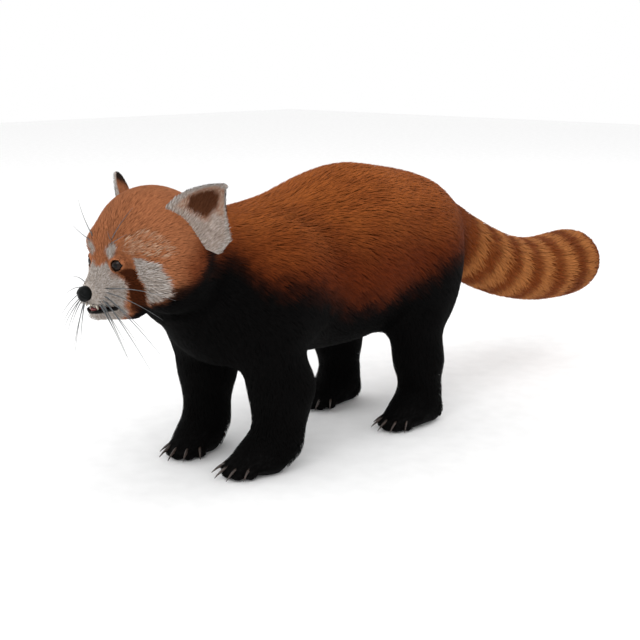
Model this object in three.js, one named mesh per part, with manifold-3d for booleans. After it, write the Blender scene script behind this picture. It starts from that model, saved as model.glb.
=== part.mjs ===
// A red panda, life size, standing on four feet with its tail held out behind.
// Millimetres, +Z up. The animal faces -Y and its left side is +X. The floor is z = 0.
// The outline is the tips of the coat. The flesh is a smooth blend of round lumps, meshed
// once for each region of the body and then parted by thin cuts.

import * as THREE from "three";
import { mergeVertices } from "three/addons/utils/BufferGeometryUtils.js";
import Module from "manifold-3d";

const wasm = await Module();
wasm.setup();

// Driving dimensions. Lengths along the body are y, counted from a point under mid back.
const backHeight = 322; // top of the arched back
const bellyHeight = 108; // underside of the belly
const trunkHalfWidth = 92;
const shoulderY = -112;
const rumpY = 136;
const crownHeight = 318; // top of the head between the ears
const skullY = -248;
const skullHalfWidth = 58;
const noseTipY = -341;
const noseHeight = 220;
const eyeCentre = [19, -303, 247];
const eyeRadius = 8;
const earBase = [55, -238.5, 278.5]; // middle of the ear's foot
const earTip = [88, -224, 323];
const earFoot = [-30, -41, 49]; // from the lower end of the ear's foot to the upper end
const earThickness = 5;
const mouthCorner = [-302, 205]; // y and z
const mouthOpening = 10; // between the lips, 50 ahead of the corner
const frontPawPlace = [52, -149];
const hindPawPlace = [66, 92];
const frontToeIn = 14; // degrees
const hindToeIn = 4; // degrees
const ankleHeight = 40; // the cut between a leg and its paw
const tailRadius = 47; // a little less at mid length, and more near the end
const tailEndY = 602;
const tailCuts = [248, 372, 496]; // y of the cuts that part the tail
const cutGap = 0.3; // between neighbouring solids

// Steps of the meshes
const bodyStep = 24;
const headStep = 12;
const pawStep = 11;

// Distance to round shapes, as functions of x, y, z

function smoothUnion(a, b, reach) {
  const h = Math.max(reach - Math.abs(a - b), 0) / reach;
  return Math.min(a, b) - h * h * reach * 0.25;
}

function ellipsoid(centre, radii) {
  const least = Math.min(...radii);
  return (x, y, z) => {
    const u = (x - centre[0]) / radii[0];
    const v = (y - centre[1]) / radii[1];
    const w = (z - centre[2]) / radii[2];
    const k = Math.hypot(u, v, w);
    const slope = Math.hypot(u / radii[0], v / radii[1], w / radii[2]);
    return slope < 1e-9 ? -least : (k * (k - 1)) / slope;
  };
}

// A limb from a to b, round all the way, of radius ra at a and rb at b
function limb(a, ra, b, rb) {
  const ab = b.map((v, i) => v - a[i]);
  const length2 = ab.reduce((sum, v) => sum + v * v, 0);
  return (x, y, z) => {
    const p = [x - a[0], y - a[1], z - a[2]];
    const along = (p[0] * ab[0] + p[1] * ab[1] + p[2] * ab[2]) / length2;
    const t = THREE.MathUtils.clamp(along, 0, 1);
    return Math.hypot(...p.map((v, i) => v - ab[i] * t)) - (ra + (rb - ra) * t);
  };
}

function blend(reach, ...shapes) {
  return (x, y, z) =>
    shapes.map((shape) => shape(x, y, z)).reduce((a, b) => smoothUnion(a, b, reach));
}

const bothSides = (shape) => (x, y, z) => shape(Math.abs(x), y, z);

// A shape with a soft hollow pressed into it
const pressed = (reach, shape, hollow) => (x, y, z) =>
  -smoothUnion(-shape(x, y, z), hollow(x, y, z), reach);

// Trunk, neck and tail

const trunkMiddle = (backHeight + bellyHeight) / 2;
const trunkDepth = (backHeight - bellyHeight) / 2;

const trunk = blend(
  40,
  ellipsoid([0, 34, trunkMiddle], [trunkHalfWidth, 112, trunkDepth]),
  ellipsoid([0, rumpY, 212], [trunkHalfWidth - 8, 96, 93]),
  ellipsoid([0, -40, 204], [trunkHalfWidth - 10, 106, 94]),
  ellipsoid([0, shoulderY, 198], [trunkHalfWidth - 16, 82, 82]),
  ellipsoid([0, -160, 178], [62, 58, 60]),
);

const neck = blend(
  30,
  limb([0, -130, 214], 66, [0, -205, 242], 56),
  limb([0, -150, 182], 50, [0, -215, 205], 40),
);

const tailPath = new THREE.CatmullRomCurve3([
  new THREE.Vector3(0, 178, 246),
  new THREE.Vector3(0, 228, 223),
  new THREE.Vector3(0, 295, 191),
  new THREE.Vector3(0, 370, 160),
  new THREE.Vector3(0, 445, 141),
  new THREE.Vector3(0, 510, 137),
  new THREE.Vector3(0, tailEndY - 1.04 * tailRadius, 138),
]);
const tailRings = 14;
const tailWaist = (t) => 0.07 * Math.sin(Math.PI * Math.min(1, 1.3 * t));
const tailBulb = (t) => 0.09 * THREE.MathUtils.smoothstep(t, 0.5, 0.9);
const tailRadiusAt = (t) => tailRadius * (0.95 - tailWaist(t) + tailBulb(t));

const tailLengths = [];
for (let i = 0; i < tailRings; i++) {
  const a = tailPath.getPoint(i / tailRings);
  const b = tailPath.getPoint((i + 1) / tailRings);
  tailLengths.push(
    limb(a.toArray(), tailRadiusAt(i / tailRings), b.toArray(), tailRadiusAt((i + 1) / tailRings)),
  );
}
const tail = blend(6, ...tailLengths);

// Head. The mouth is closed here, and the open mouth is cut out later.

const muzzleHeight = noseHeight - 3;
const closedHead = blend(
  16,
  ellipsoid([0, skullY, crownHeight - 58], [skullHalfWidth, 60, 58]),
  bothSides(ellipsoid([36, skullY - 4, 230], [34, 44, 38])),
  bothSides(ellipsoid([17, -296, 263], [16, 16, 14])),
  limb([0, -298, 238], 22, [0, noseTipY + 18, noseHeight + 4], 9.5),
  bothSides(limb([12, -300, 218], 21, [8, noseTipY + 20, muzzleHeight - 5], 10)),
  limb([0, -280, 206], 22, [0, -318.5, 199.5], 9.5),
);
const orbit = bothSides(ellipsoid([25, -314, 247], [10, 12, 9]));
const head = pressed(8, closedHead, orbit);

// Legs of the left side, which are mirrored for the right

const shoulder = ellipsoid([54, shoulderY - 2, 198], [38, 54, 68]);
const foreLeg = blend(
  18,
  shoulder,
  limb([56, -142, 156], 40, [59, -126, 100], 33),
  limb([57, -131, 92], 28, [55, -134, 32], 22),
  limb([65, -119, 92], 28, [62, -126, 32], 22),
  limb([58, -130, 32], 22, [54, -140, 14], 19),
);
const thigh = ellipsoid([52, 128, 178], [42, 54, 78]);
const hindLeg = blend(
  20,
  thigh,
  limb([63, 100, 132], 36, [67, 104, 82], 28),
  limb([67, 106, 80], 27, [67, 109, 36], 23),
  limb([67, 109, 36], 23, [66, 118, 14], 18),
);

// Paws, each in a frame of its own: toes to -Y, floor at z = 0, left foot

const toeFan = [-36, -16, 1, 17, 35]; // degrees, from the inner toe to the outer
const toeReach = [28, 37, 40, 37, 28];
const toeTipHeight = 8;
const toeRadius = 8.6;

function toeTip(toe, width) {
  const a = THREE.MathUtils.degToRad(toeFan[toe]);
  return [Math.sin(a) * toeReach[toe] * width, -Math.cos(a) * toeReach[toe], toeTipHeight];
}

function pawShape({ heel, width }) {
  const toes = toeFan.map((_, toe) => {
    const tip = toeTip(toe, width);
    return limb([tip[0] * 0.45, tip[1] * 0.45, 20], 12, tip, toeRadius);
  });
  const pad = ellipsoid([0, -4, 16], [25 * width, 28, 18]);
  return blend(5, blend(12, pad, limb([0, heel, 15], 17, [0, 0, 24], 22)), ...toes);
}

const frontPaw = { place: frontPawPlace, toeIn: frontToeIn, heel: 8, width: 1.05 };
const hindPaw = { place: hindPawPlace, toeIn: hindToeIn, heel: 34, width: 1 };

// From a left paw's own frame to the body's
function pawMatrix({ place, toeIn }) {
  const turn = new THREE.Matrix4().makeRotationZ(THREE.MathUtils.degToRad(-toeIn));
  return turn.setPosition(place[0], place[1], 0);
}

function placedPaw(paw) {
  const shape = pawShape(paw);
  const back = pawMatrix(paw).invert();
  const p = new THREE.Vector3();
  return (x, y, z) => shape(...p.set(x, y, z).applyMatrix4(back).toArray());
}

const upperBody = blend(24, trunk, neck, bothSides(foreLeg), bothSides(hindLeg));
const withHead = blend(18, upperBody, head, tail);
const paws = blend(10, bothSides(placedPaw(frontPaw)), bothSides(placedPaw(hindPaw)));
const flesh = blend(12, withHead, paws);

// Surface mesh of a shape, by surface nets: one vertex for each cell that the surface crosses,
// drawn onto the surface, and one quad for each grid edge that it crosses

function surfaceMesh(shape, low, high, step) {
  const count = low.map((v, i) => Math.ceil((high[i] - v) / step) + 1);
  const [nx, ny, nz] = count;
  const index = (i, j, k) => (k * ny + j) * nx + i;
  const place = (i, j, k) => [low[0] + i * step, low[1] + j * step, low[2] + k * step];
  const value = new Float64Array(nx * ny * nz);
  for (let k = 0; k < nz; k++)
    for (let j = 0; j < ny; j++)
      for (let i = 0; i < nx; i++) {
        const rim = !i || !j || !k || i === nx - 1 || j === ny - 1 || k === nz - 1;
        const d = shape(...place(i, j, k));
        value[index(i, j, k)] = rim ? Math.max(d, step / 4) : d;
      }

  const cellVertex = new Int32Array(value.length).fill(-1);
  const points = [];
  for (let k = 0; k < nz - 1; k++)
    for (let j = 0; j < ny - 1; j++)
      for (let i = 0; i < nx - 1; i++) {
        const crossing = edgeMean(i, j, k);
        if (!crossing) continue;
        cellVertex[index(i, j, k)] = points.length / 3;
        points.push(...crossing);
      }

  function edgeMean(i, j, k) {
    const sum = [0, 0, 0];
    let n = 0;
    for (let corner = 0; corner < 8; corner++)
      for (let axis = 0; axis < 3; axis++) {
        if (corner & (1 << axis)) continue;
        const a = [i + (corner & 1), j + ((corner >> 1) & 1), k + ((corner >> 2) & 1)];
        const b = a.map((v, n2) => v + (n2 === axis ? 1 : 0));
        const va = value[index(...a)];
        const vb = value[index(...b)];
        if (va < 0 === vb < 0) continue;
        const p = place(...a);
        p[axis] += (step * va) / (va - vb);
        p.forEach((v, m) => (sum[m] += v));
        n++;
      }
    if (!n) return null;
    const inRim = i && j && k && i < nx - 2 && j < ny - 2 && k < nz - 2;
    const mean = sum.map((v) => v / n);
    return inRim ? drawnOnto(shape, mean, step / 2) : mean;
  }

  const triangles = [];
  for (let k = 0; k < nz - 1; k++)
    for (let j = 0; j < ny - 1; j++)
      for (let i = 0; i < nx - 1; i++)
        for (let axis = 0; axis < 3; axis++) {
          const start = [i, j, k];
          if (!start[(axis + 1) % 3] || !start[(axis + 2) % 3]) continue;
          const end = [i, j, k];
          end[axis]++;
          const inside = value[index(...start)] < 0;
          if (inside === value[index(...end)] < 0) continue;
          const u = [0, 0, 0];
          const v = [0, 0, 0];
          u[(axis + 1) % 3] = 1;
          v[(axis + 2) % 3] = 1;
          const cell = (a, b) =>
            cellVertex[
              index(i - a * u[0] - b * v[0], j - a * u[1] - b * v[1], k - a * u[2] - b * v[2])
            ];
          const quad = [cell(0, 0), cell(1, 0), cell(1, 1), cell(0, 1)];
          if (!inside) quad.reverse();
          triangles.push(...splitQuad(quad, points));
        }
  const geometry = new THREE.BufferGeometry();
  geometry.setAttribute("position", new THREE.Float32BufferAttribute(points, 3));
  geometry.setIndex(triangles);
  return geometry;
}

// The quad's shorter diagonal gives the smoother surface
function splitQuad([a, b, c, d], points) {
  const gap = (m, n) =>
    Math.hypot(...[0, 1, 2].map((axis) => points[3 * m + axis] - points[3 * n + axis]));
  return gap(a, c) < gap(b, d) ? [a, b, c, a, c, d] : [a, b, d, b, c, d];
}

// Moves a point along the shape's slope until it lies on the surface
function drawnOnto(shape, point, most) {
  const e = 0.05;
  let p = point;
  for (let turn = 0; turn < 3; turn++) {
    const d = shape(...p);
    const slope = [0, 1, 2].map((axis) => {
      const q = [...p];
      q[axis] += e;
      return (shape(...q) - d) / e;
    });
    const size2 = slope.reduce((sum, v) => sum + v * v, 0);
    p = p.map((v, axis) => v - (d * slope[axis]) / Math.max(size2, 0.2));
  }
  const moved = Math.hypot(...p.map((v, axis) => v - point[axis]));
  return moved < most ? p : point;
}

// Solids

function solidOf(geometry, matrix) {
  const bare = geometry.clone();
  bare.deleteAttribute("normal");
  bare.deleteAttribute("uv");
  if (matrix) bare.applyMatrix4(matrix);
  const merged = mergeVertices(bare, 1e-3);
  const triVerts = new Uint32Array(merged.index.array);
  if (matrix && matrix.determinant() < 0)
    for (let i = 0; i < triVerts.length; i += 3)
      [triVerts[i + 1], triVerts[i + 2]] = [triVerts[i + 2], triVerts[i + 1]];
  return new wasm.Manifold(
    new wasm.Mesh({ numProp: 3, vertProperties: merged.attributes.position.array, triVerts }),
  );
}

function geometryOf(solid) {
  const mesh = solid.getMesh();
  const geometry = new THREE.BufferGeometry();
  geometry.setAttribute("position", new THREE.BufferAttribute(mesh.vertProperties, 3));
  geometry.setIndex(new THREE.BufferAttribute(mesh.triVerts, 1));
  return geometry.toNonIndexed();
}

// Everything on the side of a plane that its normal points to
const farOff = 2000;
function halfSpace(point, normal, shift = 0) {
  const n = new THREE.Vector3(...normal).normalize();
  const middle = new THREE.Vector3(...point).addScaledVector(n, shift + farOff / 2);
  const turn = new THREE.Quaternion().setFromUnitVectors(new THREE.Vector3(0, 0, 1), n);
  const size = new THREE.Vector3(1, 1, 1);
  const box = new THREE.BoxGeometry(farOff, farOff, farOff);
  return solidOf(box, new THREE.Matrix4().compose(middle, turn, size));
}

// The two sides of a thin cut: in front of the plane, and behind it
function parted(solid, point, normal) {
  const behind = normal.map((v) => -v);
  return [
    solid.intersect(halfSpace(point, normal, cutGap / 2)),
    solid.intersect(halfSpace(point, behind, cutGap / 2)),
  ];
}

// A closed body through rings of points that all run the same way round
function loft(rings) {
  const sides = rings[0].length;
  const points = rings.flat().flatMap((p) => p.toArray());
  const index = [];
  for (let r = 0; r < rings.length - 1; r++)
    for (let i = 0; i < sides; i++) {
      const a = r * sides + i;
      const b = r * sides + ((i + 1) % sides);
      index.push(a, b, b + sides, a, b + sides, a + sides);
    }
  const last = (rings.length - 1) * sides;
  for (let i = 1; i < sides - 1; i++) {
    index.push(0, i + 1, i);
    index.push(last, last + i, last + i + 1);
  }
  const geometry = new THREE.BufferGeometry();
  geometry.setAttribute("position", new THREE.Float32BufferAttribute(points, 3));
  geometry.setIndex(index);
  return geometry;
}

function lump(centre, radii, across = 12, high = 8) {
  const place = new THREE.Matrix4().makeTranslation(...centre).scale(new THREE.Vector3(...radii));
  return solidOf(new THREE.SphereGeometry(1, across, high), place);
}

// A side-view outline of y and z, given a width from one x to another
function sideways(outline, xFrom, xTo) {
  const shape = new THREE.Shape(outline.map(([y, z]) => new THREE.Vector2(y, z)));
  const slab = new THREE.ExtrudeGeometry(shape, { depth: xTo - xFrom, bevelEnabled: false });
  const turn = new THREE.Matrix4().set(0, 0, 1, xFrom, 1, 0, 0, 0, 0, 1, 0, 0, 0, 0, 0, 1);
  return solidOf(slab, turn);
}

const mirror = new THREE.Matrix4().makeScale(-1, 1, 1);
const mirrored = (solid) => solidOf(geometryOf(solid), mirror);

// Materials

const coat = (color) => new THREE.MeshStandardMaterial({ color, roughness: 0.9 });
const rustCoat = coat(0x8a4a22);
const darkCoat = coat(0x17110f);
const ringedCoat = coat(0x9c5a30);
const faceCoat = coat(0x9a6038);
const earCoat = coat(0xd8d2c6);
const eyeMaterial = new THREE.MeshStandardMaterial({ color: 0x0c0705, roughness: 0.08 });
const noseMaterial = new THREE.MeshStandardMaterial({ color: 0x0a0a0b, roughness: 0.45 });
const tongueMaterial = new THREE.MeshStandardMaterial({ color: 0x5c2a28, roughness: 0.4 });
const clawMaterial = new THREE.MeshStandardMaterial({ color: 0x6d5550, roughness: 0.4 });

const animal = new THREE.Group();

function addNode(name, solid, material) {
  const mesh = new THREE.Mesh(geometryOf(solid), material);
  mesh.name = name;
  animal.add(mesh);
}

function addPair(name, left, material) {
  addNode(`${name}_left`, left, material);
  addNode(`${name}_right`, mirrored(left), material);
}

// Ears: cupped leaves whose foot is let into the head

const earAxis = new THREE.Vector3(...earTip).sub(new THREE.Vector3(...earBase));
const earLength = earAxis.length();
earAxis.normalize();
const earAcross = new THREE.Vector3(...earFoot);
const earHalfWidth = earAcross.length() / 2;
earAcross.addScaledVector(earAxis, -earAcross.dot(earAxis)).normalize();
const earFront = new THREE.Vector3().crossVectors(earAxis, earAcross);
const earRootDepth = 0.35; // of the length, inside the head
const earCupDepth = 12;

function ear(grow) {
  const rings = [];
  for (const s of [-earRootDepth, 0, 0.3, 0.56, 0.78, 0.92, 1]) {
    const up = Math.max(s, 0);
    const upperEdge = Math.max((1 - up ** 1.9) ** 0.8, 0.06); // round
    const lowerEdge = Math.max(1 - up, 0.06); // straight
    const root = s < 0 ? 0.8 : 1;
    const cup = earCupDepth * upperEdge;
    const middle = new THREE.Vector3(...earBase).addScaledVector(earAxis, s * earLength);
    const ring = [];
    const sides = 14;
    for (let i = 0; i < sides; i++) {
      const a = (2 * Math.PI * i) / sides;
      const round = Math.sqrt(Math.abs(Math.sin(a))) * Math.sign(Math.sin(a));
      const edge = Math.cos(a) > 0 ? upperEdge : lowerEdge;
      const reach = earHalfWidth * edge * root + grow;
      const thick = (earThickness / 2) * (s < 0 ? 1.5 : 1);
      const deep = cup * Math.sin(a) ** 2 - thick * round - (round < 0 ? -grow : grow);
      ring.push(
        middle
          .clone()
          .addScaledVector(earAcross, reach * Math.cos(a))
          .addScaledVector(earFront, -deep),
      );
    }
    rings.push(ring);
  }
  rings[0].forEach((p) => p.addScaledVector(earAxis, -grow));
  rings.at(-1).forEach((p) => p.addScaledVector(earAxis, grow));
  return solidOf(loft(rings));
}

// Head, cut for the eyes, nose, ears and mouth

let skull = solidOf(surfaceMesh(flesh, [-90, -360, 165], [90, -150, 345], headStep));
const napeAndThroat = [[0, -178, 302], [0, -0.81, 0.59]];
[skull] = parted(skull, ...napeAndThroat);

const eye = lump(eyeCentre, Array(3).fill(eyeRadius));
const eyeSocket = lump(eyeCentre, Array(3).fill(eyeRadius + cutGap));
const noseCentre = [0, noseTipY + 6.5, noseHeight];
const nose = lump(noseCentre, [8.5, 7, 6.5]);
const noseSocket = lump(noseCentre, [8.5 + cutGap, 7 + cutGap, 6.5 + cutGap]);
const earSocket = ear(1.5 * cutGap); // wider, because its faces slant
for (const hollow of [eyeSocket, mirrored(eyeSocket), noseSocket, earSocket, mirrored(earSocket)])
  skull = skull.subtract(hollow);

const [hingeY, hingeZ] = mouthCorner;
const lipSlope = mouthOpening / 2 / 50;
const jawRoot = [-266, 132]; // y and z of the cut behind the jaw, under the throat
const wayForward = -400;
const lipAt = (side) => hingeZ + side * lipSlope * (hingeY - wayForward);
const jawOutline = [mouthCorner, jawRoot, [wayForward, jawRoot[1]], [wayForward, lipAt(-1)]];
const gapOutline = [
  [hingeY + cutGap, hingeZ + cutGap],
  [jawRoot[0] + cutGap, jawRoot[1]],
  [wayForward, jawRoot[1]],
  [wayForward, lipAt(1)],
];
const headWidth = 100;
const tonguePlace = [0, -315, 202];
const tongueRadii = [5, 12, 2.2];
const tongue = lump(tonguePlace, tongueRadii);
const tongueBed = lump(tonguePlace, tongueRadii.map((r) => r + cutGap));
const palate = lump([0, -314, 205], [9, 15, 5]);

function canine(x, y, z, length) {
  const cone = new THREE.ConeGeometry(1.8, Math.abs(length), 6);
  cone.rotateX((Math.sign(length) * Math.PI) / 2).translate(x, y, z + length / 2);
  return solidOf(cone);
}

let jaw = skull.intersect(sideways(jawOutline, -headWidth, headWidth));
skull = skull.subtract(sideways(gapOutline, -headWidth, headWidth));
skull = skull.subtract(palate).subtract(tongueBed);
jaw = jaw.subtract(palate).subtract(tongueBed);
for (const side of [-1, 1]) {
  skull = skull.add(canine(side * 8, -325, 213, -9));
  jaw = jaw.add(canine(side * 7.6, -320, 197, 8));
}

addNode("head", skull, faceCoat);
addNode("lower_jaw", jaw, faceCoat);
addNode("tongue", tongue, tongueMaterial);
addNode("nose", nose, noseMaterial);
addPair("eye", eye, eyeMaterial);
addPair("ear", ear(0), earCoat);

// Body, with each leg parted from the trunk along an arch over its shoulder or hip

let torso = solidOf(surfaceMesh(flesh, [-140, -300, 10], [140, 660, 360], bodyStep));
torso = parted(torso, ...napeAndThroat)[1];
torso = parted(torso, [0, 0, ankleHeight], [0, 0, 1])[0];

function legCutter(middleY, archHeight, halfLength, grow) {
  const outline = [[middleY - halfLength - grow, 0]];
  const steps = 10;
  for (let i = 0; i <= steps; i++) {
    const a = Math.PI - (Math.PI * i) / steps;
    const reach = halfLength + grow;
    outline.push([middleY + Math.cos(a) * reach, archHeight + Math.sin(a) * reach]);
  }
  outline.push([middleY + halfLength + grow, 0]);
  const insideLow = [14 - grow, 0, 82];
  const leaning = [0.86, 0, -0.5];
  return sideways(outline.reverse(), 1, 200).intersect(halfSpace(insideLow, leaning));
}

const limbs = [
  { name: "front_leg", middleY: shoulderY - 8, archHeight: 160, halfLength: 62 },
  { name: "hind_leg", middleY: 132, archHeight: 157, halfLength: 72 },
];
for (const { name, middleY, archHeight, halfLength } of limbs) {
  const leg = torso.intersect(legCutter(middleY, archHeight, halfLength, 0));
  const cutAway = legCutter(middleY, archHeight, halfLength, cutGap);
  torso = torso.subtract(cutAway).subtract(mirrored(cutAway));
  addPair(name, leg, darkCoat);
}

let [neckPiece, rest] = parted(torso, [0, -165, 0], [0, -1, 0]);
addNode("neck", neckPiece, rustCoat);
for (const [i, name] of ["trunk", "tail_base", "tail_middle"].entries()) {
  const [behind, front] = parted(rest, [0, tailCuts[i], 0], [0, 1, 0]);
  addNode(name, front, i ? ringedCoat : rustCoat);
  rest = behind;
}
addNode("tail_tip", rest, ringedCoat);

// Paws on flat soles, and their claws

const clawLength = 15;
const clawRadius = 2.7;

function claw(paw, toe, grow) {
  const a = THREE.MathUtils.degToRad(toeFan[toe]);
  const [x, y, z] = toeTip(toe, paw.width);
  const ahead = new THREE.Vector3(Math.sin(a), -Math.cos(a), 0);
  const up = new THREE.Vector3(0, 0, 1);
  const side = new THREE.Vector3().crossVectors(ahead, up);
  const rings = [0, 0.5, 1].map((t) => {
    const middle = new THREE.Vector3(x, y, z + 5 - 8.5 * t ** 1.7);
    middle.addScaledVector(ahead, 3 + clawLength * t + (t ? 0 : -grow));
    const radius = clawRadius * (1 - 0.8 * t) + grow;
    return [0, 1, 2, 3].map((corner) => {
      const b = (Math.PI * corner) / 2;
      return middle
        .clone()
        .addScaledVector(side, Math.sin(b) * radius * 0.8)
        .addScaledVector(up, Math.cos(b) * radius);
    });
  });
  return solidOf(loft(rings), pawMatrix(paw));
}

for (const [name, paw] of Object.entries({ front: frontPaw, hind: hindPaw })) {
  const [x, y] = paw.place;
  const low = [x - 52, y - 66, -12];
  const high = [x + 52, y + 66, ankleHeight + 24];
  let solid = solidOf(surfaceMesh(flesh, low, high, pawStep));
  solid = parted(solid, [0, 0, ankleHeight], [0, 0, 1])[1].intersect(halfSpace([0, 0, 0], [0, 0, 1]));
  for (const toe of toeFan.keys()) {
    solid = solid.subtract(claw(paw, toe, cutGap));
    addPair(`${name}_claw_${toe + 1}`, claw(paw, toe, 0), clawMaterial);
  }
  addPair(`${name}_paw`, solid, darkCoat);
}

// The origin is on the floor, in the middle of the outline seen from above
const outline = new THREE.Box3().setFromObject(animal);
animal.position.y = -(outline.min.y + outline.max.y) / 2;
const model = new THREE.Group();
model.add(animal);

export default model;
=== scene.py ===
# A red panda standing on four feet, life size: skin, coat, face, claws and whiskers.
# Shapes are worked out in the animal's own millimetres: it faces -Y, +X is its left side,
# y is 0 under mid back and z is 0 on the floor. toFrame turns them into the frame's metres.

import bpy
import math
import numpy as np
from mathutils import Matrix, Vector


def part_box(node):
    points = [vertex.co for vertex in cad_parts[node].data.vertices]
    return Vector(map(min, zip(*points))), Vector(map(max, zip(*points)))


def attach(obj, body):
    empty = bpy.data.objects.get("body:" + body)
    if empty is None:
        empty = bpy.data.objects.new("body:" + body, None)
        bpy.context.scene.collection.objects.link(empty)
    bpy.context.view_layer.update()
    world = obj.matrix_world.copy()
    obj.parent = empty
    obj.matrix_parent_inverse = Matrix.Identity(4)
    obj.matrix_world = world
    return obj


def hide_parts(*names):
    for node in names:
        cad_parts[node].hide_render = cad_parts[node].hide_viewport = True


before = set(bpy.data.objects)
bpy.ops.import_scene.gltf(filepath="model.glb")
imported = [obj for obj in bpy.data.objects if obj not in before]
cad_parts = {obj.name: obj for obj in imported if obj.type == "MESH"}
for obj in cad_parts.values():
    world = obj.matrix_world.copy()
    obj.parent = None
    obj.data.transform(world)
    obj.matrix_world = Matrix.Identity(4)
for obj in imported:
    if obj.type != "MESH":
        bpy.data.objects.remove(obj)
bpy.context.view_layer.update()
scene = bpy.context.scene

animal = {
    "noseTip": -341.5,  # y of the front of the nose, which ties these millimetres to the frame
    "eyeCentre": (18.4, -304.2, 246.3),
    "eyeRadius": 8.0,
    "eyeAxis": (0.457, -0.889, 0.0),
    "mouthCorner": (-309.0, 205.0),  # y and z
    "mouthSlope": 0.125,
    "seed": 11,
}
eachSide = (("left", 1), ("right", -1))
rng = np.random.default_rng(animal["seed"])
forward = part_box("nose")[0].y * 1000 - animal["noseTip"]


def toFrame(points):
    return ((np.asarray(points, float) + (0, forward, 0)) * 0.001).astype(np.float32)


# Shapes are distances, worked out on arrays of points: p is (x, y, z)


def smoothUnion(a, b, reach):
    h = np.maximum(reach - np.abs(a - b), 0) / reach
    return np.minimum(a, b) - h * h * reach * 0.25


def ramp(a, b, value):
    # 0 at a, 1 at b, with soft ends
    t = np.clip((value - a) / (b - a), 0, 1)
    return t * t * (3 - 2 * t)


def hollowed(shape, hollow, reach):
    return lambda p: -smoothUnion(-shape(p), hollow(p), reach)


def lump(centre, radii):
    def distance(p):
        q = [(p[i] - centre[i]) / radii[i] for i in range(3)]
        k = np.sqrt(q[0] ** 2 + q[1] ** 2 + q[2] ** 2)
        slope = np.sqrt((q[0] / radii[0]) ** 2 + (q[1] / radii[1]) ** 2 + (q[2] / radii[2]) ** 2)
        return k * (k - 1) / np.maximum(slope, 1e-6)
    return distance


def limb(a, ra, b, rb):
    ab = [float(b[i] - a[i]) for i in range(3)]
    squared = sum(v * v for v in ab)

    def distance(p):
        d = [p[i] - a[i] for i in range(3)]
        t = np.clip((d[0] * ab[0] + d[1] * ab[1] + d[2] * ab[2]) / squared, 0, 1)
        gap = np.sqrt((d[0] - t * ab[0]) ** 2 + (d[1] - t * ab[1]) ** 2 + (d[2] - t * ab[2]) ** 2)
        return gap - (ra + (rb - ra) * t)
    return distance


def blend(reach, *shapes):
    def distance(p):
        total = shapes[0](p)
        for shape in shapes[1:]:
            total = smoothUnion(total, shape(p), reach)
        return total
    return distance


def folded(p):
    # the right side's points carried over to the left
    return np.abs(p[0]), p[1], p[2]


def bothSides(shape):
    return lambda p: shape(folded(p))


def shrunk(shape, depth):
    return lambda p: shape(p) + depth


def slopeOf(shape, points, step=0.2):
    # unit outward normals of a distance at points
    p = points.T
    slope = np.stack(
        [shape(tuple(p[j] + step * (i == j) for j in range(3)))
         - shape(tuple(p[j] - step * (i == j) for j in range(3))) for i in range(3)], 1)
    return slope / np.maximum(np.linalg.norm(slope, axis=1, keepdims=True), 1e-9)


# Trunk, neck and tail, out to the tips of the coat

trunkSizes = {"back": 322, "belly": 108, "halfWidth": 92, "shoulder": -112, "rump": 136}
midTrunk = (trunkSizes["back"] + trunkSizes["belly"]) / 2
halfTrunk = (trunkSizes["back"] - trunkSizes["belly"]) / 2
trunkWidth = trunkSizes["halfWidth"]

trunkShape = blend(
    40,
    lump((0, 44, midTrunk), (trunkWidth, 116, halfTrunk)),
    lump((0, trunkSizes["rump"], 212), (trunkWidth - 8, 96, 93)),
    lump((0, -40, 204), (trunkWidth - 10, 106, 94)),
    lump((0, trunkSizes["shoulder"], 198), (trunkWidth - 16, 82, 82)),
    lump((0, -160, 178), (62, 58, 60)),
)
neckShape = blend(
    30,
    limb((0, -130, 214), 66, (0, -205, 242), 56),
    limb((0, -150, 182), 50, (0, -215, 205), 40),
)

# y of the tail's end and its radius, with the shares of it at the root, off the waist and on the end
tailSizes = {"end": 602.0, "radius": 47.0, "root": 0.95, "waist": 0.025, "swell": 0.09, "steps": 28}
tailEndRadius = tailSizes["radius"] * (tailSizes["root"] + tailSizes["swell"])
tailKnots = np.array(
    [(0, 178, 243), (0, 228, 217), (0, 295, 185), (0, 370, 156), (0, 445, 140), (0, 510, 137),
     (0, tailSizes["end"] - tailEndRadius, 138)], float)


def smoothPath(knots, t):
    # Catmull-Rom through the knots, t from 0 to 1
    ends = np.vstack([2 * knots[0] - knots[1], knots, 2 * knots[-1] - knots[-2]])
    s = np.clip(np.asarray(t, float) * (len(knots) - 1), 0, len(knots) - 1 - 1e-9)
    i = s.astype(int)
    f = (s - i)[:, None]
    a, b, c, d = ends[i], ends[i + 1], ends[i + 2], ends[i + 3]
    return 0.5 * (2 * b + (c - a) * f + (2 * a - 5 * b + 4 * c - d) * f**2
                  + (3 * b - a - 3 * c + d) * f**3)


def tailRadiusAt(t):
    waist = tailSizes["waist"] * np.sin(np.pi * np.minimum(1, 1.3 * t))
    return tailSizes["radius"] * (tailSizes["root"] - waist + tailSizes["swell"] * ramp(0.5, 0.9, t))


tailTimes = np.linspace(0, 1, tailSizes["steps"] + 1)
tailMiddle = smoothPath(tailKnots, tailTimes)
tailRadii = [tailRadiusAt(t) for t in tailTimes]
tailShape = blend(
    4, *[limb(tailMiddle[i], tailRadii[i], tailMiddle[i + 1], tailRadii[i + 1])
         for i in range(tailSizes["steps"])])

# Head, with its eyes pressed in

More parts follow.
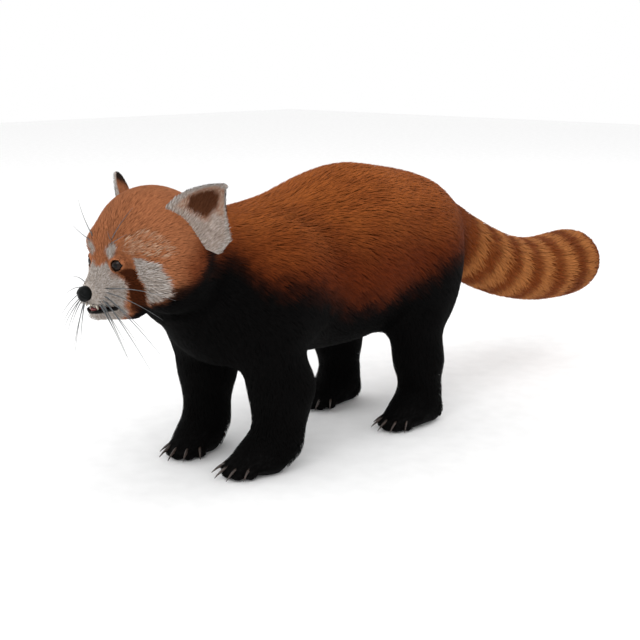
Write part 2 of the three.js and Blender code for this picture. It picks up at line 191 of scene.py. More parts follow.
skullShape = blend(
    16,
    lump((0, -248, 260), (58, 60, 58)),
    bothSides(lump((36, -252, 230), (34, 44, 38))),
    bothSides(lump((17, -296, 263), (16, 16, 14))),
    limb((0, -298, 238), 22, (0, -323, 224), 9.5),
    bothSides(limb((12, -300, 218), 21, (8, -321, 212), 10)),
    limb((0, -280, 206), 22, (0, -318.5, 199.5), 9.5),
)
orbit = bothSides(lump((26, -317, 247), (9, 12, 8)))
headShape = hollowed(skullShape, orbit, 7)

# Legs and paws of the left side, mirrored for the right

foreLeg = blend(
    18,
    lump((54, -114, 198), (38, 54, 68)),
    limb((56, -142, 156), 40, (59, -126, 100), 33),
    limb((57, -131, 92), 28, (55, -134, 32), 22),
    limb((65, -119, 92), 28, (62, -126, 32), 22),
    limb((58, -130, 32), 22, (54, -140, 14), 19),
)
hindLeg = blend(
    20,
    lump((52, 128, 178), (42, 54, 78)),
    limb((63, 100, 132), 36, (67, 104, 82), 28),
    limb((67, 106, 80), 27, (67, 109, 36), 23),
    limb((67, 109, 36), 23, (66, 118, 14), 18),
)

toes = {"fan": (-36, -16, 1, 17, 35), "reach": (28, 37, 40, 37, 28), "tipHeight": 8, "radius": 8.6}
pawKinds = {
    "front": {"place": (52, -149), "toeIn": 14, "heel": 8, "width": 1.05},
    "hind": {"place": (66, 92), "toeIn": 4, "heel": 34, "width": 1.0},
}


def toeTip(toe, width):
    a = math.radians(toes["fan"][toe])
    reach = toes["reach"][toe]
    return (math.sin(a) * reach * width, -math.cos(a) * reach, toes["tipHeight"])


def pawShape(paw):
    width = paw["width"]
    parts = []
    for toe in range(5):
        tip = toeTip(toe, width)
        parts.append(limb((tip[0] * 0.45, tip[1] * 0.45, 20), 12, tip, toes["radius"]))
    pad = lump((0, -4, 16), (25 * width, 28, 18))
    sole = blend(12, pad, limb((0, paw["heel"], 15), 17, (0, 0, 24), 22))
    shape = blend(5, sole, *parts)
    turn = math.radians(-paw["toeIn"])
    px, py = paw["place"]

    def placed(p):
        dx, dy = p[0] - px, p[1] - py
        return shape((dx * math.cos(turn) + dy * math.sin(turn),
                      dy * math.cos(turn) - dx * math.sin(turn), p[2]))
    return placed


pawsShape = blend(10, *[bothSides(pawShape(paw)) for paw in pawKinds.values()])


def whole(depth):
    # the animal's outline, or with a depth for each part, its skin
    def part(name, shape):
        return shrunk(shape, depth.get(name, 0))

    upper = blend(24, part("trunk", trunkShape), part("neck", neckShape),
                  part("legs", bothSides(foreLeg)), part("legs", bothSides(hindLeg)))
    withHead = blend(18, upper, part("head", headShape), part("tail", tailShape))
    return blend(12, withHead, part("paws", pawsShape))


coatDepth = {"trunk": 8.0, "neck": 7.0, "legs": 4.0, "head": 2.6, "tail": 9.0, "paws": 1.4}
outline = whole({})
fleshUnderCoat = whole(coatDepth)

# Eyes, lids and mouth, cut into the skin

eyeCentre = animal["eyeCentre"]
eyeAxis = np.array(animal["eyeAxis"])
eyeAcross = np.array((0.889, 0.457, 0.0))
lids = {"ballGap": 0.15, "middle": 8.9, "half": 0.75, "across": 5.9, "high": 5.2}


def eyeDistance(p):
    return np.sqrt(sum((p[i] - eyeCentre[i]) ** 2 for i in range(3)))


def lidShape(p):
    d = [p[i] - eyeCentre[i] for i in range(3)]
    far = np.sqrt(d[0] ** 2 + d[1] ** 2 + d[2] ** 2)
    ahead = d[0] * eyeAxis[0] + d[1] * eyeAxis[1]
    side = d[0] * eyeAcross[0] + d[1] * eyeAcross[1]
    opening = (np.sqrt((side / lids["across"]) ** 2 + (d[2] / lids["high"]) ** 2) - 1) * lids["high"]
    opening = np.maximum(opening, -ahead)
    shell = np.abs(far - lids["middle"]) - lids["half"]
    return -smoothUnion(-shell, opening, 0.8)


def mouthGap(p):
    y0, z0 = animal["mouthCorner"]
    ahead = y0 - p[1]
    return np.maximum(-ahead, np.abs(p[2] - z0 - 0.01 * ahead) - 0.4 - animal["mouthSlope"] * ahead)


palate = lump((0, -315, 205), (9, 16, 5.5))


def skinShape(p):
    flesh = fleshUnderCoat(p)
    side = folded(p)
    ball = eyeDistance(side) - animal["eyeRadius"] - lids["ballGap"]
    flesh = smoothUnion(flesh, lidShape(side), 3.0)
    flesh = np.maximum(flesh, -ball)
    flesh = -smoothUnion(-flesh, smoothUnion(mouthGap(p), palate(p), 1.5), 2.0)
    return np.maximum(flesh, 0.6 - p[2])


# Surfaces


def steps(*spans):
    # an axis of growing and shrinking steps: (end, step) after a start
    values = [spans[0]]
    for end, step in spans[1:]:
        count = max(1, round((end - values[-1]) / step))
        values.extend(np.linspace(values[-1], end, count + 1)[1:])
    return np.array(values, np.float32)


def surfaceNet(shape, axes):
    # one point in each grid cell that the surface crosses, one quad for each crossed edge
    grid = shape((axes[0][:, None, None], axes[1][None, :, None], axes[2][None, None, :]))
    inside = grid < 0
    size = np.array(grid.shape) - 1
    allPoints, allCells = [], []
    for axis in range(3):
        low = tuple(slice(0, -1) if a == axis else slice(None) for a in range(3))
        high = tuple(slice(1, None) if a == axis else slice(None) for a in range(3))
        at = np.argwhere(inside[low] != inside[high])
        b, c = (axis + 1) % 3, (axis + 2) % 3
        at = at[(at[:, b] > 0) & (at[:, c] > 0) & (at[:, b] < size[b]) & (at[:, c] < size[c])]
        end = at.copy()
        end[:, axis] += 1
        va, vb = grid[tuple(at.T)], grid[tuple(end.T)]
        point = np.stack([axes[a][at[:, a]] for a in range(3)], 1)
        point[:, axis] += (axes[axis][end[:, axis]] - point[:, axis]) * va / (va - vb)
        ring = []
        for db, dc in ((0, 0), (1, 0), (1, 1), (0, 1)):
            cell = at.copy()
            cell[:, b] -= db
            cell[:, c] -= dc
            ring.append((cell[:, 0] * size[1] + cell[:, 1]) * size[2] + cell[:, 2])
        ring = np.stack(ring, 1)
        outside = ~inside[tuple(at.T)]
        ring[outside] = ring[outside][:, ::-1]
        allPoints.append(point)
        allCells.append(ring)
    points, rings = np.vstack(allPoints), np.vstack(allCells)
    _, index = np.unique(rings, return_inverse=True)
    index = index.reshape(rings.shape)
    count = np.bincount(index.ravel())
    middle = np.stack([np.bincount(index.ravel(), np.repeat(points[:, a], 4)) / count for a in range(3)], 1)
    return drawnOnto(shape, middle), index


def drawnOnto(shape, points, turns=2, most=1.5):
    moved = points.copy()
    for _ in range(turns):
        gap = shape(tuple(moved.T))
        moved -= slopeOf(shape, moved) * np.clip(gap, -most, most)[:, None]
    return moved


def meshPiece(name, points, faces, material, layers=None, uv=None):
    mesh = bpy.data.meshes.new(name)
    mesh.materials.append(material)
    sides = faces.shape[1]
    mesh.vertices.add(len(points))
    mesh.vertices.foreach_set("co", toFrame(points).ravel())
    mesh.loops.add(faces.size)
    mesh.loops.foreach_set("vertex_index", faces.astype(np.int32).ravel())
    mesh.polygons.add(len(faces))
    mesh.polygons.foreach_set("loop_start", np.arange(0, faces.size, sides, dtype=np.int32))
    mesh.polygons.foreach_set("use_smooth", np.ones(len(faces), bool))
    for layer, values in (layers or {}).items():
        attribute = mesh.attributes.new(layer, "FLOAT_VECTOR", "POINT")
        attribute.data.foreach_set("vector", values.astype(np.float32).ravel())
    if uv is not None:
        unwrap = mesh.uv_layers.new(name="OFBake")
        unwrap.data.foreach_set("uv", uv[faces.ravel()].astype(np.float32).ravel())
    mesh.update(calc_edges=True)
    piece = bpy.data.objects.new(name, mesh)
    scene.collection.objects.link(piece)
    return piece


def ringQuads(rings, sides):
    # faces between rings of points that each close on themselves
    r, c = np.meshgrid(np.arange(rings - 1), np.arange(sides), indexing="ij")
    n = (c + 1) % sides
    corners = (r * sides + c, r * sides + n, (r + 1) * sides + n, (r + 1) * sides + c)
    return np.stack(corners, -1).reshape(-1, 4)


def closedTube(rings, start, end):
    # rings of points as a tube that comes together in a point at each end
    count, sides = rings.shape[:2]
    quads = ringQuads(count, sides)
    first, top = count * sides, (count - 1) * sides
    i = np.arange(sides)
    j = (i + 1) % sides
    faces = [quads[:, [0, 3, 2]], quads[:, [0, 2, 1]], np.stack([np.full(sides, first), i, j], 1),
             np.stack([np.full(sides, first + 1), top + j, top + i], 1)]
    return np.vstack([rings.reshape(-1, 3), start, end]), np.vstack(faces)


def joined(parts):
    # several (points, faces) as one
    points, faces, start = [], [], 0
    for p, f in parts:
        points.append(p)
        faces.append(f + start)
        start += len(p)
    return np.vstack(points), np.vstack(faces)


# Ears: cupped leaves, round along the upper edge and straight along the lower one

ear = {
    "base": (55, -238.5, 278.5), "tip": (88, -224, 323), "foot": (-30, -41, 49),
    "cup": 12.0, "thick": 1.6, "coat": 1.3, "root": 0.3, "rings": 30, "sides": 56, "locks": 5400,
    "lobe": (6, 5, 5),
}
earBase = np.array(ear["base"], float)
earAxis = np.array(ear["tip"], float) - earBase
earLength = np.linalg.norm(earAxis)
earAxis /= earLength
earAcross = np.array(ear["foot"], float)
earHalf = np.linalg.norm(earAcross) / 2
earAcross -= earAcross @ earAxis * earAxis
earAcross /= np.linalg.norm(earAcross)
earFront = np.cross(earAxis, earAcross)


def earSurface():
    s = np.concatenate([[-ear["root"]], np.linspace(0, 1, ear["rings"]) ** 0.85])[:, None]
    a = np.linspace(0, 2 * np.pi, ear["sides"], endpoint=False)[None, :]
    up = np.clip(s, 0, 1)
    upper = np.maximum((1 - up**1.9) ** 0.8, 0.05)
    lower = np.maximum((1 - up) ** 1.25, 0.05) * 0.93
    edge = np.where(np.cos(a) > 0, upper, lower)
    reach = (earHalf - ear["coat"]) * edge
    half = ear["thick"] * (1 + 1.5 * (1 - up) ** 3)
    deep = ear["cup"] * (0.4 + 0.6 * up) * upper * np.sin(a) ** 2
    deep = deep - half * np.sign(np.sin(a)) * np.abs(np.sin(a)) ** 0.5
    ripple = 0.8 * np.sin(3 * a) * np.sin(np.pi * up) ** 2
    length = s * (earLength - ear["coat"])
    lobe = np.clip(-np.cos(a), 0, 1) * (1 - up)
    points = (earBase + length[..., None] * earAxis + (reach * np.cos(a))[..., None] * earAcross
              - (deep + ripple)[..., None] * earFront + lobe[..., None] * np.array(ear["lobe"], float))
    rings, sides = points.shape[:2]
    last = (rings - 1) * sides
    cap = [(last + i, last + i + 1, last + sides - i - 2, last + sides - i - 1)
           for i in range(sides // 2 - 1)]
    along, around = (np.broadcast_to(v, (rings, sides)).ravel() for v in (up, a))
    return points.reshape(-1, 3), np.vstack([ringQuads(rings, sides), np.array(cap)]), along, around


def mirrored(points, faces):
    return points * (-1, 1, 1), faces[:, ::-1]


# Markings, the same on skin and coat


def waves(p, scale, seed):
    # soft noise from a few crossing sine waves
    turn = np.random.default_rng(seed)
    total = np.zeros(len(p))
    for _ in range(6):
        direction = turn.normal(size=3)
        direction /= np.linalg.norm(direction) * scale
        total += np.sin(p @ direction * 2 * np.pi + turn.uniform(0, 6.3))
    return total / 6


def alongTail(p):
    # how many millimetres along the tail a point is, and which way the tail runs there
    gap = ((p[:, None, 1:] - tailMiddle[None, :, 1:]) ** 2).sum(2)
    near = gap.argmin(1)
    tangent = np.gradient(tailMiddle, axis=0)[near]
    tangent /= np.linalg.norm(tangent, axis=1, keepdims=True)
    lengths = np.concatenate([[0], np.cumsum(np.linalg.norm(np.diff(tailMiddle, axis=0), axis=1))])
    past = ((p - tailMiddle[near]) * tangent).sum(1)
    return lengths[near] + past, tangent


def headness(p):
    # 1 on the head, 0 behind the crease of the neck
    return ramp(-6, 6, (p[:, 1] + 178) * -0.81 + (p[:, 2] - 302) * 0.59)


def patch(x, z, corners, soft):
    # 1 inside an outline of the face seen from the front, 0 outside, with a soft edge
    corners = np.array(corners, float)
    inside = np.zeros(len(x), bool)
    near = np.full(len(x), 1e9)
    for a, b in zip(corners, np.roll(corners, -1, axis=0)):
        dx, dz = b - a
        t = np.clip(((x - a[0]) * dx + (z - a[1]) * dz) / (dx * dx + dz * dz), 0, 1)
        near = np.minimum(near, np.hypot(x - a[0] - t * dx, z - a[1] - t * dz))
        crosses = (a[1] > z) != (b[1] > z)
        inside ^= crosses & (x < a[0] + (z - a[1]) * dx / (dz if dz else 1e-9))
    return ramp(-soft, soft, np.where(inside, near, -near))


facePatches = {  # left half: millimetres round the head from its middle line, and height
    "cheek": [(36, 254.5), (50, 252), (62.7, 247), (68, 235.4), (72, 223.3), (71, 217), (61, 212),
              (50.5, 208.5), (48.4, 219.3), (47, 229.4), (40.2, 239)],
    "muzzle": [(-3, 243), (5.6, 245.5), (9, 249.3), (12, 245), (16.7, 240), (25, 233), (31, 229.2),
               (30.6, 221.5), (28.5, 213.3), (25, 206), (26, 195), (12, 182), (-3, 182)],
    "brow": [(8, 258.5), (12.5, 252), (16.5, 254.5), (22.5, 264), (21.5, 267.5), (15, 267), (10, 263.5)],
    "stripe": [(22, 240), (28, 244), (37.5, 242), (42, 235), (46.5, 227.3), (49.2, 217), (47.8, 208),
               (40, 199), (27, 200), (32.1, 208.7), (31.8, 217.4), (30.6, 227.3)],
    "underEye": [(12, 240), (18, 234), (26, 233), (34, 239), (35, 247), (29, 251), (26, 243), (19, 240)],
    "temple": [(28, 262), (36, 257), (52, 256), (70, 252), (80, 258), (72, 272), (48, 282), (30, 274)],
}


def roundHead(x, y):
    return 60 * np.arctan2(np.abs(x), -(y + 250))


def bareParts(points):
    # lips and lid rims, where no coat grows, and how far inside the mouth a point is
    p = points.T
    x, y, z = folded(p)
    cornerY, cornerZ = animal["mouthCorner"]
    lower = z < cornerZ
    inMouth = ramp(np.where(lower, 5.0, 2.0), np.where(lower, 3.6, 0.9), mouthGap(p)) * (y < cornerY + 3)
    deep = inMouth * ramp(-1.2, -2.8, fleshUnderCoat(p))
    beside = (x - eyeCentre[0]) * eyeAcross[0] + (y - eyeCentre[1]) * eyeAcross[1]
    rims = ramp(10.3, 9.6, eyeDistance((x, y, z))) * ramp(6.4, 5.2, np.hypot(beside, z - eyeCentre[2]))
    return np.maximum(inMouth, rims), deep


tailRings = {"firstDark": 72.0, "pair": 57.0}  # along the tail from its root under the rump


def markings(points):
    x, y, z = folded(points.T)
    coarse, fine = waves(points, 55, 3), waves(points, 15, 4)
    streak = waves(points * (1, 0.25, 0.6), 7, 5)
    head = headness(points)
    tail = ramp(205, 250, y + 0.3 * (z - 200))

    # black legs, belly, chest and throat, under an edge that rises at the shoulder and the thigh
    edge = 152 + 40 * ramp(-25, -140, y) + 30 * ramp(-150, -195, y) + 32 * ramp(20, 140, y) + 4 * coarse
    dark = ramp(edge + 50, edge - 4, z + 9 * fine + 6 * streak)
    level = 205 + 17 * ramp(-286, -268, y) + 0.3 * np.maximum(y + 268, 0) + 0.7 * np.maximum(y + 245, 0)
    under = ramp(level + 15, level - 12, z + 4 * fine + 3 * streak) * ramp(-296, -282, y)
    dark = (dark * (1 - head) + head * under) * (1 - tail)

    wobble = 1.1 * fine + 0.7 * streak
    front = ramp(-240, -262, y)
    over = roundHead(x, y) + wobble
    seen = {name: patch(over, z + wobble, corners, 1.6) * front
            for name, corners in facePatches.items()}
    white = np.maximum(seen["cheek"], np.maximum(seen["muzzle"] * ramp(-292, -299, y), seen["brow"]))
    brown = np.maximum(seen["stripe"], 0.35 * seen["underEye"])
    white = white * (1 - brown)

    along, _ = alongTail(points)
    turns = (along - tailRings["firstDark"]) * 2 * np.pi / tailRings["pair"] + 0.3 * coarse
    pale = ramp(-1.0, 1.1, -np.cos(turns) + 0.6 * fine + 0.5 * streak) * tail
    pale = 0.92 * pale * ramp(45, 120, along) * (1 - 0.75 * ramp(555, 592, y))
    # painted light and shade: the rust is lighter towards the top of the back as if lit from above, and a
    # painted shade darkens the neck below the back of the head
    paintedTopLightCreaseShade = ramp(205, 300, z + 8 * coarse) * (1 - tail)
    paintedTopLightCreaseShade = paintedTopLightCreaseShade * (1 - 0.75 * ramp(-150, -195, y) * ramp(292, 240, z) * (1 - head))
    bare, deep = bareParts(points)
    # red deepens to the end of the tail; on the head, painted shade deepens it towards the dark throat, low
    # down and to the rear
    tailEndRedAndHeadShade = ramp(440, 560, y) + head * ramp(level + 45, level + 12, z + 4 * fine) * ramp(-275, -250, y)
    return {
        "marks": np.stack([dark, white, brown], 1),
        "tones": np.stack([pale, paintedTopLightCreaseShade, seen["temple"]], 1),
        "places": np.stack([head, tail, tailEndRedAndHeadShade], 1),
        "bare": np.stack([bare, deep, 0 * bare], 1),
    }


# Materials


def colour(code):
    # a colour written as a screen shows it, in the linear values that the nodes take
    parts = [int(code[i:i + 2], 16) / 255 for i in (1, 3, 5)]
    return tuple(c / 12.92 if c <= 0.04045 else ((c + 0.055) / 1.055) ** 2.4 for c in parts) + (1.0,)


class Value:
    # a number in a material, that sums can be written with
    def __init__(self, finish, socket):
        self.finish, self.socket = finish, socket

    def maths(self, operation, *terms):
        node = self.finish.node("Math", {"operation": operation}, dict(enumerate(terms)))
        return Value(self.finish, node.outputs[0])

    def __add__(self, other):
        return self.maths("ADD", self, other)

    def __radd__(self, other):
        return self.maths("ADD", other, self)

    def __sub__(self, other):
        return self.maths("SUBTRACT", self, other)

    def __rsub__(self, other):
        return self.maths("SUBTRACT", other, self)

    def __mul__(self, other):
        return self.maths("MULTIPLY", self, other)

    def __rmul__(self, other):
        return self.maths("MULTIPLY", other, self)

    def __truediv__(self, other):
        return self.maths("DIVIDE", self, other)

    def clipped(self):
        return self.maths("MINIMUM", self.maths("MAXIMUM", self, 0.0), 1.0)

    def over(self, low, high):
        # 0 below low, 1 above high
        return ((self - low) / (high - low)).clipped()


class Finish:
    # one material and the nodes behind it
    def __init__(self, name, shine):
        self.material = bpy.data.materials.new(name)
        self.material.use_nodes = True
        self.tree = self.material.node_tree
        self.surface = next(n for n in self.tree.nodes if n.type == "BSDF_PRINCIPLED")
        for socket, value in shine.items():
            self.surface.inputs[socket].default_value = value

    def node(self, kind, settings=None, inputs=None):
        node = self.tree.nodes.new("ShaderNode" + kind)
        for setting, value in (settings or {}).items():
            setattr(node, setting, value)
        for socket, value in (inputs or {}).items():
            self.feed(node.inputs[socket], value)
        return node

    def feed(self, socket, value):
        value = getattr(value, "socket", value)
        if isinstance(value, bpy.types.NodeSocket):
            self.tree.links.new(value, socket)
        else:
            socket.default_value = value

    def mix(self, factor, a, b, how="MIX"):
        node = self.node("Mix", {"data_type": "RGBA", "blend_type": how}, {0: factor, 6: a, 7: b})
        return node.outputs[2]

    def layer(self, name):
        # the three numbers that the mesh carries under a name
        read = self.node("Attribute", {"attribute_name": name})
        parts = self.node("SeparateXYZ", None, {0: read.outputs["Vector"]})
        return [Value(self, out) for out in parts.outputs]

    def noise(self, scale, stretch, detail):
        place = self.node("TexCoord").outputs["Object"]
        place = self.node("VectorMath", {"operation": "MULTIPLY"}, {0: place, 1: stretch}).outputs[0]
        node = self.node("TexNoise", None, {"Vector": place, "Scale": scale, "Detail": detail})
        return Value(self, node.outputs[0])

    def paint(self, value, bump=None, strength=0.3, distance=0.001, rough=None):
        self.feed(self.surface.inputs["Base Color"], value)
        if rough is not None:
            self.feed(self.surface.inputs["Roughness"], rough)
        if bump is not None:
            node = self.node("Bump", None, {"Strength": strength, "Distance": distance, "Height": bump})
            self.feed(self.surface.inputs["Normal"], node.outputs["Normal"])
        return self.material


# the bright rust is the rust as painted light from above makes it; the deep rust is the coat's darker tone,
# and the colour of painted shade too
furColours = {
    "rustDeep": "#6c2d0f", "rustTopLit": "#b0602a", "headRust": "#b9744d", "buff": "#cba88c",
    "black": "#050404", "brownBlack": "#311206", "white": "#cdc4be", "cream": "#b0a194",
    "stripe": "#4e240d", "ringDark": "#874116", "ringPale": "#c67d44", "tip": "#6b3213",
    "lip": "#080606", "mouth": "#3c0c10",
}


def furColour(finish, shade, glint, paintedRootShade):
    # the coat's colour from the markings; shade and glint vary from strand to strand, 0 to 1, and the fourth
    # number, 1 towards a lock's root, darkens it there as painted shade
    c = {name: colour(code) for name, code in furColours.items()}
    dark, white, brown = finish.layer("marks")
    pale, paintedTopLightCreaseShade, temple = finish.layer("tones")
    head, tail, tailEndRedAndHeadShade = finish.layer("places")
    # deep rust low on the body and bright rust high, as painted light from above, with painted shade on the
    # neck below the head
    body = finish.mix(paintedTopLightCreaseShade, c["rustDeep"], c["rustTopLit"])
    dabs = finish.noise(46, (1, 0.28, 0.6), 3).over(0.42, 0.68)
    body = finish.mix(dabs * 0.4, body, c["rustDeep"])
    # on the head, painted shade turns the head's rust to deep rust low down and to the rear
    body = finish.mix(head, body, finish.mix(tailEndRedAndHeadShade * 0.85, c["headRust"], c["rustDeep"]))
    body = finish.mix((glint.over(0.25, 0.95) * temple * 0.85).clipped(), body, c["buff"])
    rings = finish.mix(pale, c["ringDark"], c["ringPale"])
    rings = finish.mix(tailEndRedAndHeadShade * (1 - pale) * 0.6, rings, c["tip"])
    body = finish.mix(tail, body, rings)
    body = finish.mix(brown, body, c["stripe"])
    fade = dark.over(0.0, 0.75)
    body = finish.mix(fade * (0.75 + 0.25 * shade), body, c["brownBlack"])
    body = finish.mix((dark * 1.5 - 0.45).clipped(), body, c["black"])
    body = finish.mix(white, body, finish.mix(shade, c["cream"], c["white"]))
    # brightness from strand to strand, darker towards each lock's root as painted shade
    light = 0.54 + 0.19 * shade + 0.12 * glint - 0.14 * paintedRootShade
    return finish.mix(1.0, body, light, "MULTIPLY")


def coatFinish(name):
    finish = Finish(name, {"Roughness": 0.75, "Specular IOR Level": 0.05})
    shade, along, glint = finish.layer("strand")
    # painted shade: 1 at each lock's root, none from three quarters of the way up
    paintedRootShade = 1 - along.over(0.0, 0.75)
    return finish.paint(furColour(finish, shade, glint, paintedRootShade))


def skinFinish():
    finish = Finish("underfur_and_skin", {"Roughness": 0.7, "Specular IOR Level": 0.08})
    fine = finish.noise(900, (1, 0.16, 0.3), 3)
    broad = finish.noise(260, (1, 0.3, 0.4), 2)
    bare, deep, _ = finish.layer("bare")
    # on the skin, noise stands in for the painted shade at the roots
    fur = furColour(finish, fine.over(0.3, 0.7), broad.over(0.35, 0.7), fine * 0.4)
    lip = finish.mix(deep, colour(furColours["lip"]), colour(furColours["mouth"]))
    wet = 0.7 - 0.35 * bare
    return finish.paint(finish.mix(bare, fur, lip), fine + broad * 0.5, 0.3, 0.001, wet)


def plainFinish(name, dull, bright, shine, scale, strength, distance):
    # two tones broken up by noise, with a bump of the same grain
    finish = Finish(name, shine)
    grain = finish.noise(scale, (1, 1, 1), 4)
    tone = finish.mix(grain.over(0.3, 0.7), colour(dull), colour(bright))
    return finish.paint(tone, grain, strength, distance)


def eyeFinish():
    # dark brown iris round a pupil, under a wet clear coat
    finish = Finish("eye_wet", {"Roughness": 0.14, "Specular IOR Level": 0.1, "Coat Weight": 0.15,
                                "Coat Roughness": 0.02})
    turn, _, _ = finish.layer("gaze")
    grain = finish.noise(2600, (1, 1, 1), 3)
    iris = finish.mix(grain.over(0.3, 0.7), colour("#120a06"), colour("#24160e"))
    ball = finish.mix(turn.over(0.60, 0.66), iris, colour("#080505"))
    return finish.paint(finish.mix(1 - turn.over(0.26, 0.30), ball, colour("#020202")))


# Skin

skin = {"face": 1.42, "crown": 2.5, "body": 5.0, "flank": 3.8, "paws": 2.5}


def makeSkin():
    half = steps(0, (32, skin["face"]), (64, 2.2), (108, skin["flank"]))
    across = np.concatenate([-half[:0:-1], half])
    length = steps(-348, (-288, skin["face"]), (-200, skin["crown"]), (-186, skin["flank"]),
                   (-110, skin["paws"]), (44, skin["body"]), (126, skin["paws"]), (620, skin["body"]))
    height = steps(-3, (36, skin["paws"]), (180, skin["body"]), (196, 2.2), (272, skin["face"]), (330, 2.4))
    points, faces = surfaceNet(skinShape, (across, length, height))
    return meshPiece("skin", points, faces, skinFinish(), markings(points)), points, faces


skinPiece, skinPoints, skinFaces = makeSkin()
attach(skinPiece, "root")
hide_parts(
    "head", "lower_jaw", "neck", "trunk", "tail_base", "tail_middle", "tail_tip",
    *[f"{end}_{part}_{side}" for end in ("front", "hind") for part in ("leg", "paw")
      for side in ("left", "right")])
print("skin", len(skinPoints), "points", 2 * len(skinFaces), "triangles")

# Coat: closed three-sided locks, rooted in the skin, with their tips near the outline


def scatter(points, faces, count, wanted=None):
    # roots spread by area over a mesh: places and, for each, its face's corners and their shares
    tri = faces if faces.shape[1] == 3 else np.vstack([faces[:, [0, 1, 2]], faces[:, [0, 2, 3]]])
    if faces.shape[1] == 4:
        tri = tri.reshape(2, -1, 3).transpose(1, 0, 2).reshape(-1, 3)
    a, b, c = (points[tri[:, i]] for i in range(3))
    area = np.linalg.norm(np.cross(b - a, c - a), axis=1) / 2
    if wanted is not None:
        area = area * wanted((a + b + c) / 3)
    total = np.cumsum(area)
    pick = np.searchsorted(total, (np.arange(count) + rng.uniform(0, 1, count)) / count * total[-1])
    pick = np.minimum(pick, len(tri) - 1)
    u, v = rng.uniform(0, 1, (2, count))
    flip = u + v > 1
    u[flip], v[flip] = 1 - u[flip], 1 - v[flip]
    share = np.stack([1 - u - v, u, v], 1)
    corners = tri[pick]
    return (points[corners] * share[..., None]).sum(1), corners, share


def unit(vectors):
    return vectors / np.maximum(np.linalg.norm(vectors, axis=1, keepdims=True), 1e-9)


def laidOn(normals, lie):
    return unit(lie - (lie * normals).sum(1, keepdims=True) * normals)


lockWidths = {2: (0.45, 0.42), 3: (0.42, 0.5, 0.36)}  # half widths up a lock, by its number of rings
unwrapSpread = 0.003  # how much of the unwrap one lock takes up


def growLocks(name, roots, normals, lie, lengths, depth, style, material, unwrap, layers, settle=None):
    n, rings = len(roots), style["rings"]
    lie = laidOn(normals, lie)
    across = unit(np.cross(lie, normals))
    width = style["width"] * rng.uniform(0.7, 1.3, n) * style.get("scale", np.ones(n))
    lengths = lengths * rng.uniform(0.75, 1.2, n)
    sway = rng.normal(0, style["sway"], n)
    sunk = rng.uniform(*style["sunk"], n)
    places = []
    for k in range(rings + 1):
        t = k / rings
        at = roots + lie * (lengths * t)[:, None] + across * (sway * lengths * t * t)[:, None]
        if k == 0:
            at = at - normals * style["embed"]
        else:
            gap = -depth * (1 - (1 - sunk) * (1 - (1 - t) ** 1.8))
            if settle is None:
                at = at + normals * (depth + gap)[:, None]
            else:
                for _ in range(2):
                    at = at + normals * np.clip(gap - settle(tuple(at.T)), -9, 9)[:, None]
        places.append(at)
    points, along = [], []
    for k in range(rings):
        heading = unit(places[k + 1] - places[max(k - 1, 0)])
        beside = unit(np.cross(heading, normals))
        proud = np.cross(beside, heading)
        half = width[:, None] * lockWidths[rings][k]
        points += [places[k] - beside * half, places[k] + proud * half * style["ridge"],
                   places[k] + beside * half]
        along += [k / rings] * 3
    points.append(places[rings])
    along.append(1.0)
    count = len(points)
    points = np.stack(points, 1).reshape(-1, 3)
    tri = []
    for k in range(rings - 1):
        for i in range(3):
            j = (i + 1) % 3
            p, q, r, s = 3 * k + i, 3 * k + j, 3 * k + 3 + j, 3 * k + 3 + i
            tri += [(p, q, r), (p, r, s)]
    top = 3 * (rings - 1)
    tri += [(top + i, top + (i + 1) % 3, count - 1) for i in range(3)] + [(0, 2, 1)]
    faces = (np.arange(n)[:, None, None] * count + np.array(tri)[None]).reshape(-1, 3)
    local = np.array([(i % 3) / 2 if i < count - 1 else 0.5 for i in range(count)])
    uv = unwrap[:, None, :] + unwrapSpread * np.stack([local, np.array(along)], 1)[None]
    strand = np.empty((n, count, 3))
    strand[..., 0] = rng.uniform(0, 1, n)[:, None]
    strand[..., 1] = np.array(along)[None]
    strand[..., 2] = rng.uniform(0, 1, n)[:, None]
    layers = {key: np.repeat(values, count, axis=0) for key, values in layers.items()}
    layers["strand"] = strand.reshape(-1, 3)
    piece = meshPiece(name, points, faces, material, layers, uv.reshape(-1, 2))
    softened(piece.data, np.repeat(normals, count, axis=0), style["soft"])
    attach(piece, "root")
    return piece


def softened(mesh, normals, share):
    # shade the locks partly as the coat's surface, so that they read as soft hair
    own = np.empty(len(mesh.vertices) * 3, np.float32)
    mesh.vertex_normals.foreach_get("vector", own)
    mixed = unit(share * normals + (1 - share) * own.reshape(-1, 3))
    mesh.normals_split_custom_set_from_vertices(mixed)


def pastLegs(points):
    # how much further a place is from the legs' surface than from the trunk's
    side = folded(points.T)
    return np.minimum(foreLeg(side), hindLeg(side)) - trunkShape(side)


def partOf(points):
    # which stretch of coat a place belongs to
    x, y, z = points.T
    legs = pastLegs(points) < 5
    found = np.full(len(points), "trunk_right", dtype="U16")
    found[x >= 0] = "trunk_left"
    found[y < -150] = "neck"
    found[(z < 152) & (y < 240) & (np.abs(x) < 60)] = "belly"
    found[(z < 168) & legs & (y < 0)] = "front_legs"
    found[(z < 168) & legs & (y >= 0)] = "hind_legs"
    found[z < 30] = "paws"
    found[headness(points) > 0.5] = "head"
    found[(y > 236) & (z > 60)] = "tail"
    return found


